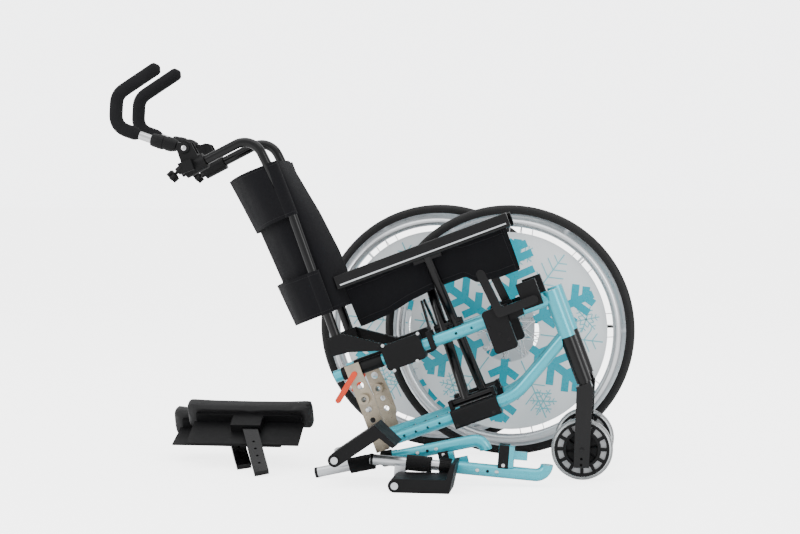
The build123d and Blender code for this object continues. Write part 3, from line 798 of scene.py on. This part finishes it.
def makeCastor(side):
    body = "castor_wheel_" + side
    low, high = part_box(body)
    centre = (low + high) / 2
    tyre = lathe("castorTyre_" + side, centre, castorValues["tyre"], "castorClear", body, 96)
    hub = lathe("castorHub_" + side, centre, castorValues["hubRing"], "blackPlastic", body, 64)
    slots = []
    for way in (-1, 1):
        floorRing = [(r, way * y) for r, y in castorValues["slotFloor"]]
        slots.append(lathe("slotFloor", centre, floorRing, "greyPlastic", None, 64))
    slots = joinPieces("castorSlotFloors_" + side, slots, body)
    rib = brick("castorRibs_" + side, (41, 57), (-10, 10), (-3.6, 3.6), 0.4, "blackPlastic",
                place=lambda x, y, z: centre + Vector((x, y, z)) / 1000)
    curve = [(14, 0), (21, 4.2), (28, 6), (37, 5)]
    arm = sweep("castorSpokes_" + side, [centre + Vector((x, 0, z)) / 1000 for x, z in curve], 0.0024,
                "blackPlastic", around=8, flat=3.2)
    for piece, count in ((rib, castorValues["ribs"]), (arm, castorValues["spokes"])):
        grow(piece, ringTree, {"Count": count, "Centre": centre, "Axis": Vector((0, 1, 0))}, "blackPlastic", body)
    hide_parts(body)
    way = sides[side]
    bolt = stub("castorBolt_" + side, centre + Vector((0, way * 0.0225, 0)), (0, way, 0),
                [(0, 0.007), (0.0014, 0.007), (0.0016, 0.0052), (0.0042, 0.0048), (0.0045, 0.003)], "blackPaint",
                "castor_fork_" + side, 6)


for side in sides:
    makeCastor(side)
print("castors ready")

# ---------- push handles ----------
handleValues = {"pivot": (-421, 794), "socketStart": (-448, 812.7), "socketEnd": (-489, 841),
                "gripStart": (-512, 860.4), "corners": [(-560, 900), (-530, 968), (-412, 993)], "bend": 40,
                "grip": 15.6}


def makeHandle(side):
    body = "push_handle_" + side
    way = sides[side]
    y = way * 90
    pivot, socketStart, socketEnd = (handleValues[k] for k in ("pivot", "socketStart", "socketEnd"))
    parts = [slab("tongue", [(-421 - 6, 794 - 11), (-409, 789), (-411, 803), (-421, 806), (-456, 829), (-466, 814)],
                  (y - 8.8, y + 8.8), 1.5, "blackPaint")]
    axis = atChair(socketEnd[0], y, socketEnd[1]) - atChair(socketStart[0], y, socketStart[1])
    parts.append(stub("socket", atChair(socketStart[0], y, socketStart[1]), axis,
                      [(-0.012, 0.011), (-0.011, 0.013), (0, 0.0165), (0.012, 0.0168), (0.0125, 0.0155), (0.02, 0.0155),
                       (0.0205, 0.0168), (0.033, 0.0168), (0.0335, 0.0158), (0.045, 0.0155), (0.0495, 0.0142),
                       (0.05, 0.0104)], "blackPlastic"))
    parts.append(stub("pivotDisc", atChair(pivot[0], y + way * 14.6, pivot[1]), (0, way, 0),
                      [(0, 0.0125), (0.0022, 0.0125), (0.0034, 0.011), (0.0036, 0.0075), (0.0022, 0.0072)],
                      "blackPlastic"))
    path = roundedPath([atChair(x, y, z) for x, z in [(-470, 825.7), handleValues["gripStart"],
                                                      handleValues["corners"][0]]], 0.01)
    parts.append(sweep("chrome", path[:-1] + [atChair(-525, y, 871)], 0.0098, "brightSteel"))
    gripPoints = [atChair(x, y, z) for x, z in [handleValues["gripStart"], *handleValues["corners"]]]
    path = roundedPath(gripPoints, handleValues["bend"] / 1000, 10)
    full = [path[0]]
    for a, b in zip(path, path[1:]):
        steps = max(1, int((b - a).length / 0.006))
        full += [a.lerp(b, k / steps) for k in range(1, steps + 1)]
    radius = handleValues["grip"] / 1000
    along = [0]
    for a, b in zip(full, full[1:]):
        along.append(along[-1] + (b - a).length)
    cap = 0.012
    radii = []
    for d in along:
        near = min(d, along[-1] - d)
        radii.append(radius * (1 if near > cap else max(0.25, math.sqrt(max(0, 1 - (1 - near / cap) ** 2)))))
    radii[0] = 0.0102
    parts.append(sweep("foam", full, radii, "gripFoam", around=24, sharp=60))
    whole = joinPieces("pushHandle_" + side, parts, body)
    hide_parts("handle_arm_" + side)
    disc = stub("pivotScrew_" + side, atChair(pivot[0], y + way * 16.2, pivot[1]), (0, way, 0),
                [(0, 0.0062), (0.0014, 0.006), (0.0024, 0.0042), (0.0026, 0.002)], "brightSteel", body, 20)


for side in sides:
    makeHandle(side)
print("push handles ready")

# ---------- seat cloth, hanging folded between the seat rails ----------
seatValues = {"x": (-192, 199), "edge": 47.0, "top": 389.0, "bottom": [(-192, 266), (-120, 271), (-60, 284), (0, 291),
                                                                   (78, 291), (98, 270), (150, 263), (199, 263)],
              "middle": 62.0, "thick": 1.6, "cut": (0.394, 0.37)}


def makeSeat(values):
    rows = []
    x0, x1 = values["x"]
    for i in range(73):
        x = x0 + (x1 - x0) * i / 72
        bottom = level(x, values["bottom"])
        row = []
        for k in range(61):
            u = k / 30 - 1
            gap = abs(u)
            if gap > 0.45:
                share = (gap - 0.45) / 0.55
                y = 19 + (values["edge"] - 19) * share ** 0.55
                z = bottom + (values["top"] - bottom) * (share ** 1.1)
            else:
                share = gap / 0.45
                y = 19 * share ** 0.8
                z = bottom + values["middle"] * (0.5 + 0.5 * math.cos(math.pi * share)) if share < 1 else bottom
            wave = noise.noise(Vector((x / 46, z / 120, math.copysign(2.0, u))))
            crease = noise.noise(Vector((x / 14, z / 60, 7 + u)))
            fade = min(1, (values["top"] - z) / 50)
            y = math.copysign(y, u) + (wave * 4.0 + crease * 1.2) * fade
            y = max(-values["edge"] - 3, min(values["edge"] + 3, y))
            row.append(atChair(x, y, z + wave * 3 * (1 - fade * 0.5) * (gap < 0.9)))
        rows.append(row)
    cloth = foldedSheet("seatCloth", rows, "blackCloth", values["thick"])
    out = Vector((0, -0.0012, 0))
    seams = [stitchLine("seatFrontSeam", [p + out for p in rows[-2][1:20]], "threadGrey"),
             stitchLine("seatSideSeam", [row[4] + out for row in rows[1:-1]], "threadGrey"),
             stitchLine("seatHemSeam", [row[14] + out for row in rows[1:-1]], "threadGrey")]
    for piece in [cloth] + seams:
        atChair(0, -50, 330)
        atChair(0, 50, 330)
        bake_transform(piece)
    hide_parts("seat_sling")


makeSeat(seatValues)
print("seat cloth ready")

# ---------- back cloth: two bands behind, a middle panel and a front panel ----------
backValues = {
    "upperBand": {"z": (561, 692), "tip": [(561, -352), (640, -363), (692, -371)], "wrap": True, "bow": 0.62,
                  "cut": (0.131, 0.398), "sag": 6},
    "middlePanel": {"z": (405, 575), "tip": [(405, -333), (575, -344)], "wrap": False, "bow": 0.8,
                    "cut": (0.17, 0.251), "sag": 0},
    "lowerBand": {"z": (322, 424), "tip": [(322, -341), (424, -350)], "wrap": True, "bow": 0.62,
                  "cut": (0.102, 0.374), "sag": 2},
    "frontPanel": {"z": (324, 690), "tip": [(324, -180), (405, -180), (453, -182), (551, -194), (640, -211),
                                             (690, -222)],
                   "wrap": False, "bow": 0.7, "cut": (0.366, 0.193), "sag": 0},
}


def makeBackSheet(name, values):
    low, high = values["z"]
    rows = []
    front = name == "frontPanel"
    steps = int((high - low) / 7)
    for i in range(steps + 1):
        z = low + (high - low) * i / steps
        caneX = -243 - (z - 560) * 0.02 if z > 560 else -243
        tip = level(z, values["tip"])
        row = []
        if values["wrap"]:  # smoothly over the outside of the cane
            row += [(caneX + 15, -86, 0), (caneX + 14.5, -90, 0), (caneX + 12.5, -96, 0)]
            for k in range(6):
                turn = math.radians(60 + k * 20)
                row.append((caneX + 13.2 * math.cos(turn), -90 - 13.2 * math.sin(turn), 0))
        start = row[-1][0] if row else caneX + (9 if front else -9)
        edge = row[-1][1] if row else (-79 if front else -80)
        for k in range(1 if row else 0, 27):
            u = k / 26
            if k == 26:
                row.append((tip, 0, 1))
            else:
                row.append((start + (tip - start) * u ** values["bow"], edge * (1 - u ** 1.6), u))
        mirrored = [(x, -y, u) for x, y, u in reversed(row[:-1])]
        full = []
        for x, y, u in row + mirrored:
            wave = noise.noise(Vector((x / 60, z / 75, math.copysign(3.0, y) + len(name))))
            crease = noise.noise(Vector((x / 18, z / 130, 9 + len(name))))
            share = math.sin(math.pi * min(1, u)) if u else 0
            y2 = y + math.copysign(1, y) * (wave * 5 + crease * 1.6) * share * (abs(y) > 4)
            drop = values["sag"] * u * (1 - (z - low) / (high - low))
            full.append(atChair(x, max(-102, min(102, y2)), z - drop + wave * 2 * share))
        rows.append(full)
    cloth = foldedSheet(name, rows, "blackCloth", 1.8)
    out = Vector((0, -0.0013, 0))
    seams = []
    half = len(rows[0]) // 2
    for k, row in enumerate((rows[1], rows[-2])):
        seams.append(stitchLine(name + "Seam" + str(k), [p + out for p in row[2:half - 3]], "threadGrey"))
    if front:
        for k, column in enumerate((half - 5, half - 9)):
            line = [row[column] + out for row in rows[1:-1]]
            seams.append(stitchLine(name + "Edge" + str(k), line, "threadGrey"))
    return cloth, seams


start, end = atChair(-300, -85, 500), atChair(-300, 85, 500)
for name, values in backValues.items():
    cloth, seams = makeBackSheet(name, values)
    for piece in [cloth] + seams:
        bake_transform(piece)
        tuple(start)
        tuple(end)
    if name == "upperBand":
        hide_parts("back_sling")
    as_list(seams)
print("back cloth ready")

# ---------- loose leg rests ----------
looseOrigin = chairOrigin + Vector((0.242, 0, -0.152837))
legPlaces = {"right": {"place": (-75, -197, 23), "lean": 4.3, "lift": 1.06, "flip": 1},
             "left": {"place": (-217, -150, 104), "lean": -12.6, "lift": -7.26, "flip": -1}}


def atLeg(side):
    values = legPlaces[side]
    turn = math.radians(values["lean"])
    px, py, pz = values["place"]

    def place(x, y, z):
        z = z * values["flip"]
        return looseOrigin + Vector((px + x * math.cos(turn) + z * math.sin(turn), py + y,
                                     pz - x * math.sin(turn) + z * math.cos(turn) + values["lift"])) / 1000
    return place


def makeLegDetails(side):
    place = atLeg(side)
    hanger, extension = "hanger_" + side, "leg_extension_" + side
    axis = place(-1, 0, 0) - place(0, 0, 0)
    collar = stub("collar_" + side, place(-236, 0, 0), axis,
                  [(-0.028, 0.0142), (-0.027, 0.0165), (-0.024, 0.0172), (-0.002, 0.0172), (0, 0.0165),
                   (0.0004, 0.0116)],
                  "blackPlastic", hanger, 32)
    knurl = brick("collarKnurls_" + side, (-233, -211), (-1.0, 1.0), (16.6, 18.2), 0.3, "blackPlastic", place=place)
    ring = {"Count": 24, "Centre": place(-222, 0, 0), "Axis": axis.normalized()}
    grow(knurl, ringTree, ring, "blackPlastic", hanger)
    latch = brick("latchCase_" + side, (-107.6, -83.2), (-11.6, 11.6), (8, 61.6), 2.2, "blackPlastic", hanger, place)
    pin = stub("latchPin_" + side, place(-95, -11.4, 16), (0, -1, 0), [(0, 0.0042), (0.0012, 0.004), (0.0016, 0.002)],
               "brightSteel", hanger, 16)
    rows = []
    for i in range(15):
        x = -310 + 56 * i / 14
        row = []
        for k in range(41):
            turn = 2 * math.pi * k / 40
            ripple = noise.noise(Vector((math.cos(turn), math.sin(turn), x / 9)))
            radius = 17.0 + ripple * 1.1
            row.append(place(x, radius * math.cos(turn), radius * math.sin(turn)))
        rows.append(row)
    sleeve = foldedSheet("heelSleeve_" + side, rows, "blackWebbing", 1.4)
    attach(sleeve, extension)
    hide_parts("heel_loop_" + side)
    holes = screws("adjustHoles_" + side, [place(-151, -14.0, 0)], 3.6, 1.2, "whitePlastic", hanger)
    dark = screws("hangerBolt_" + side, [place(-128, -14.0, 0)], 3.4, 1.6, "blackPlastic", hanger)
    cap = stub("extensionCap_" + side, place(-391, 0, 0), axis,
               [(-0.006, 0.0118), (-0.002, 0.0122), (0, 0.0118), (0.001, 0.009)],
               "blackPlastic", extension, 28)


def makeHingeCap(side):
    place = atLeg(side)
    low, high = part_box("footplate_" + side)
    y = (low.y - place(0, 0, 0).y) * 1000
    hinge = place(-318, y, -33)
    cap = stub("hingeCap_" + side, hinge, (0, -1, 0), [(-0.002, 0.0098), (0.0012, 0.0098), (0.0022, 0.0088),
                                                      (0.0024, 0.006), (0.0012, 0.0056)], "blackPlastic",
               "leg_extension_" + side, 28)
    ring = stub("hingeRing_" + side, hinge, (0, -1, 0), [(0.0008, 0.0052), (0.0026, 0.005), (0.0027, 0.0032),
                                                        (0.0015, 0.003)], "silverMetal", "leg_extension_" + side, 20)


for side in sides:
    makeHingeCap(side)
    makeLegDetails(side)
print("leg rest details ready")

# ---------- arm pads ----------
padValues = {"voxel": 0.005, "start": 0.955, "pressure": 4.0, "cap": 0.004, "frames": 20}


def makePad(side, values):
    node = nodes["arm_pad_" + side]
    pad = bpy.data.objects.new("armPad_" + side, node.data.copy())
    scene.collection.objects.link(pad)
    shell = bmesh.new()
    shell.from_mesh(pad.data)
    bmesh.ops.remove_doubles(shell, verts=shell.verts, dist=1e-5)
    low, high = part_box(node.name)
    middle = (low + high) / 2
    for vert in shell.verts:
        vert.co = middle + (vert.co - middle) * values["start"]
    shell.to_mesh(pad.data)
    shell.free()
    remesh = pad.modifiers.new("remesh", "REMESH")
    remesh.mode = "VOXEL"
    remesh.voxel_size = values["voxel"]
    bpy.context.view_layer.update()
    pad.data = bpy.data.meshes.new_from_object(pad.evaluated_get(bpy.context.evaluated_depsgraph_get()))
    pad.modifiers.clear()
    before = [v.co.copy() for v in pad.data.vertices]
    cloth = pad.modifiers.new("cloth", "CLOTH")
    cloth.settings.use_pressure = True
    cloth.settings.uniform_pressure_force = values["pressure"]
    cloth.settings.effector_weights.gravity = 0
    for step in range(1, values["frames"] + 1):
        scene.frame_set(step)
    swollen = bpy.data.meshes.new_from_object(pad.evaluated_get(bpy.context.evaluated_depsgraph_get()))
    pad.modifiers.clear()
    pad.data = swollen
    for vert, old in zip(swollen.vertices, before):
        move = vert.co - old
        if move.length > values["cap"]:
            vert.co = old + move.normalized() * values["cap"]
    scene.frame_set(1)
    for vert in pad.data.vertices:
        vert.co.z = max(vert.co.z, 0.0025)
    smooth = pad.modifiers.new("smooth", "SUBSURF")
    smooth.levels = smooth.render_levels = 1
    bpy.context.view_layer.update()
    pad.data = bpy.data.meshes.new_from_object(pad.evaluated_get(bpy.context.evaluated_depsgraph_get()))
    pad.modifiers.clear()
    pad.data.shade_smooth()
    pad.data.materials.clear()
    pad.data.materials.append(materials["padVinyl"])
    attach(pad, bodyOf["arm_pad_" + side])
    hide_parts("arm_pad_" + side)


bodyOf = {name: body for body, names in frame["record"]["behaviour"]["bodies"].items() for name in names}
for side in sides:
    makePad(side, padValues)
print("arm pads ready")

# ---------- screws and small parts on the frame ----------
screwValues = {
    "rail": [(-144, 210), (-59, 209), (-81, 151), (-138, 148)],
    "brace": [(-47, -18), (41, -17)],
    "brake": [(133, 128), (117, 145), (100, 168)],
    "plate": [(-225, 141), (-226, 85)],
}


def makeScrews(side):
    way = sides[side]
    body = side + "_side"
    for kind, points in screwValues.items():
        node = {"rail": "rail_fittings_", "brace": "brace_block_", "brake": "brake_body_", "plate": "axle_plate_"}[kind]
        low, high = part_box(node + side)
        y = (low.y if way < 0 else high.y) + (0.0003 * -way)
        places = []
        for x, z in points:
            spot = atChair(x, 0, z)
            places.append((spot.x, y, spot.z))
        finish = "silverMetal" if kind in ("rail", "plate") else "blackPaint"
        radius = {"rail": 3.8, "brace": 4.2, "brake": 3.6, "plate": 4.5}[kind]
        heads = screws(kind + "Screws_" + side, places, radius, 2.6, finish, body, (0, way, 0))


highlightStripeValues = {"highlightStripe": (371.5, 375.0), "highlightStripeX": (-196, 212)}


def makeRailHighlightAndShade(side):
    way = sides[side]
    body = "brace_b" if side == "right" else "brace_a"
    face = way * 59.5 + way * 11
    # painted highlight: a thin silver strip along the seat rail stands in for the highlight on the tube's edge
    highlightStripe = brick("railHighlightStrip_" + side, highlightStripeValues["highlightStripeX"], (face - 0.6, face + 0.6), highlightStripeValues["highlightStripe"], 0.3,
                   "silverMetal", body)
    y = way * 90
    # painted shade: a black sleeve over the rear of the rail stands in for the shade that falls on it
    sleeve = sweep("railShadeSleeve_" + side, [atChair(x, y, 179) for x in (-258, -257, -220, -180, -160, -159)],
                   [0.0142, 0.0152, 0.0153, 0.0152, 0.0152, 0.0142], "blackPlastic", side + "_side", 32)


for side in sides:
    makeScrews(side)
    makeRailHighlightAndShade(side)
print("screws and trim ready")

# ---------- sizes: bounds of the CAD parts and of everything shown, rounded ---
for boxName, box in (("cad", cadBox), ("visual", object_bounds())):
    [[round(v, 5) for v in corner] for corner in box]
